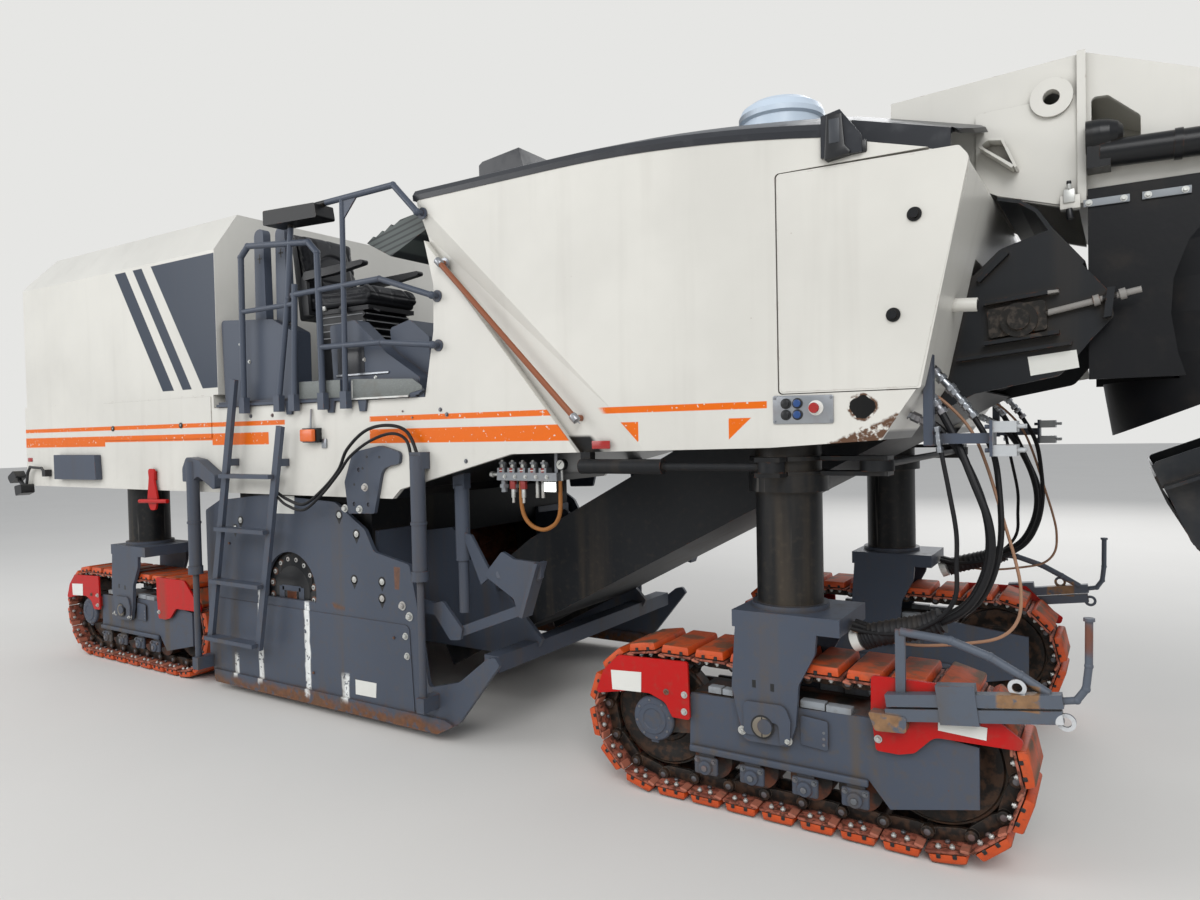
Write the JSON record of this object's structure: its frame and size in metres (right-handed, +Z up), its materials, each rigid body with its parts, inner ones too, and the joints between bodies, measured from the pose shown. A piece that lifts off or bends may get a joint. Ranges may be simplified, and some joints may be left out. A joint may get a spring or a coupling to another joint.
{
  "type": "cold planer milling machine",
  "caption": "Tracked cold planer: rear engine under a lifting hood, raised operator deck, milling drum between lifting side plates, and a slewing, luffing, folding discharge conveyor in front.",
  "frame": {"origin": "on the ground, under the middle of the machine's length and width with the conveyor raised", "axes": "+X to the front, where the discharge conveyor points; +Y to the machine's left; +Z up"},
  "size_m": [15.7487, 2.784, 4.4657],
  "materials": {
    "cream_paint": "satin",
    "slate_paint": "satin",
    "dark_cover": "satin",
    "engine_iron": "rough",
    "red_paint": "satin",
    "pad_rubber": "worn",
    "black_rubber": "matt",
    "seat_cover": "woven",
    "bare_steel": "worn",
    "rod_chrome": "polished",
    "amber_lens": "gloss"
  },
  "bodies": {
    "machine": {"lower_body": "cream_paint", "engine_block": "engine_iron", "tank_body": "cream_paint", "top_cowl": "dark_cover", "platform_deck": "slate_paint", "consoles": "slate_paint", "seat_frames": "slate_paint", "seat_cushions": "seat_cover", "handrails": "slate_paint", "ladders": "slate_paint", "steer_barrels": "slate_paint", "drum_housing": "slate_paint", "lift_barrels": "slate_paint", "front_shield": "slate_paint", "feed_conveyor": "slate_paint", "feed_belt": "black_rubber", "gantry": "cream_paint", "slew_cylinders": "slate_paint", "shroud": "black_rubber", "lamps": "amber_lens", "valve_blocks": "bare_steel", "hose_brackets": "slate_paint", "lock_levers": "red_paint"},
    "hood": {"engine_hood": "cream_paint"},
    "door_r": {"service_door_r": "cream_paint"},
    "door_l": {"service_door_l": "cream_paint"},
    "leg_fr": {"leg_fr": "slate_paint", "track_fr": "pad_rubber", "track_frame_fr": "slate_paint", "guards_fr": "red_paint", "stow_bars_fr": "slate_paint"},
    "leg_fl": {"leg_fl": "slate_paint", "track_fl": "pad_rubber", "track_frame_fl": "slate_paint", "guards_fl": "red_paint", "stow_bars_fl": "slate_paint"},
    "leg_rr": {"leg_rr": "slate_paint", "track_rr": "pad_rubber", "track_frame_rr": "slate_paint", "guards_rr": "red_paint"},
    "leg_rl": {"leg_rl": "slate_paint", "track_rl": "pad_rubber", "track_frame_rl": "slate_paint", "guards_rl": "red_paint"},
    "steer_rod_r": {"steer_rod_r": "slate_paint"},
    "steer_rod_l": {"steer_rod_l": "slate_paint"},
    "tie_rod": {"tie_rod": "slate_paint"},
    "drum": {"milling_drum": "bare_steel"},
    "side_plate_r": {"side_plate_r": "slate_paint"},
    "side_plate_l": {"side_plate_l": "slate_paint"},
    "scraper": {"scraper_blade": "slate_paint"},
    "yoke": {"slew_yoke": "cream_paint"},
    "conveyor": {"discharge_rear": "cream_paint", "belt_rear": "black_rubber"},
    "conveyor_tip": {"discharge_front": "cream_paint", "belt_front": "black_rubber"},
    "luff_barrel": {"luff_barrels": "slate_paint"},
    "luff_rod": {"luff_rods": "rod_chrome"}
  },
  "joints": [
    {"name": "hood_lift", "type": "hinge", "parent": "machine", "child": "hood", "pos_m": [-7.72107, 0, 2.2], "axis": [0, -1, 0], "range_deg": [0, 50]},
    {"name": "door_r_swing", "type": "hinge", "parent": "machine", "child": "door_r", "pos_m": [-0.48707, -1.25, 2.5], "axis": [0, 0, -1], "range_deg": [0, 100]},
    {"name": "door_l_swing", "type": "hinge", "parent": "machine", "child": "door_l", "pos_m": [-0.48707, 1.25, 2.5], "axis": [0, 0, 1], "range_deg": [0, 100]},
    {"name": "steer_front", "type": "hinge", "parent": "machine", "child": "leg_fr", "pos_m": [-0.53107, -1.03, 0], "axis": [0, 0, 1], "range_deg": [-25, 25]},
    {"name": "steer_front_left", "type": "hinge", "parent": "machine", "child": "leg_fl", "pos_m": [-0.53107, 1.03, 0], "axis": [0, 0, 1], "range_deg": [-25.5, 25.5]},
    {"name": "steer_rod_r_slide", "type": "slide", "parent": "machine", "child": "steer_rod_r", "axis": [1, 0, 0], "range_m": [-0.1, 0.1]},
    {"name": "steer_rod_l_slide", "type": "slide", "parent": "machine", "child": "steer_rod_l", "axis": [1, 0, 0], "range_m": [-0.1, 0.1]},
    {"name": "tie_rod_slide", "type": "slide", "parent": "machine", "child": "tie_rod", "axis": [0, 1, 0], "range_m": [-0.18, 0.18]},
    {"name": "steer_rear", "type": "hinge", "parent": "machine", "child": "leg_rr", "pos_m": [-6.13107, -1.03, 0], "axis": [0, 0, 1], "range_deg": [-15, 15]},
    {"name": "steer_rear_left", "type": "hinge", "parent": "machine", "child": "leg_rl", "pos_m": [-6.13107, 1.03, 0], "axis": [0, 0, 1], "range_deg": [-15.5, 15.5]},
    {"name": "drum_spin", "type": "hinge", "parent": "machine", "child": "drum", "pos_m": [-4.04107, 0, 0.9], "axis": [0, 1, 0], "continuous": true},
    {"name": "side_plate_r_lift", "type": "slide", "parent": "machine", "child": "side_plate_r", "axis": [0, 0, 1], "range_m": [0, 0.3]},
    {"name": "side_plate_l_lift", "type": "slide", "parent": "machine", "child": "side_plate_l", "axis": [0, 0, 1], "range_m": [0, 0.3]},
    {"name": "scraper_lift", "type": "slide", "parent": "machine", "child": "scraper", "axis": [0, 0, 1], "range_m": [0, 0.3]},
    {"name": "slew", "type": "hinge", "parent": "machine", "child": "yoke", "pos_m": [1.36893, 0, 3.1], "axis": [0, 0, 1], "range_deg": [-60, 60]},
    {"name": "luff", "type": "hinge", "parent": "yoke", "child": "conveyor", "pos_m": [1.36893, 0, 1.72], "axis": [0, -1, 0], "range_deg": [-10, 4]},
    {"name": "fold", "type": "hinge", "parent": "conveyor", "child": "conveyor_tip", "pos_m": [5.56467, 0, 3.08084], "axis": [0, 1, 0], "range_deg": [0, 100]},
    {"name": "luff_barrel_swing", "type": "hinge", "parent": "yoke", "child": "luff_barrel", "pos_m": [2.17393, 0, 3.05], "axis": [0, -1, 0], "range_deg": [-13.01, 5.32]},
    {"name": "luff_rod_slide", "type": "slide", "parent": "luff_barrel", "child": "luff_rod", "axis": [0.9945, 0, -0.1052], "range_m": [-0.1034, 0.2554]}
  ],
  "couplings": [
    {"joint": "steer_front_left", "follows": "steer_front", "ratio": 1},
    {"joint": "steer_rod_r_slide", "follows": "steer_front", "m_per_rad": 0.22471},
    {"joint": "steer_rod_l_slide", "follows": "steer_front", "m_per_rad": -0.22471},
    {"joint": "tie_rod_slide", "follows": "steer_front", "m_per_rad": 0.4068},
    {"joint": "steer_rear_left", "follows": "steer_rear", "ratio": 1},
    {"joint": "luff_barrel_swing", "follows": "luff", "ratio": 1.2807},
    {"joint": "luff_rod_slide", "follows": "luff", "m_per_rad": -1.452}
  ]
}
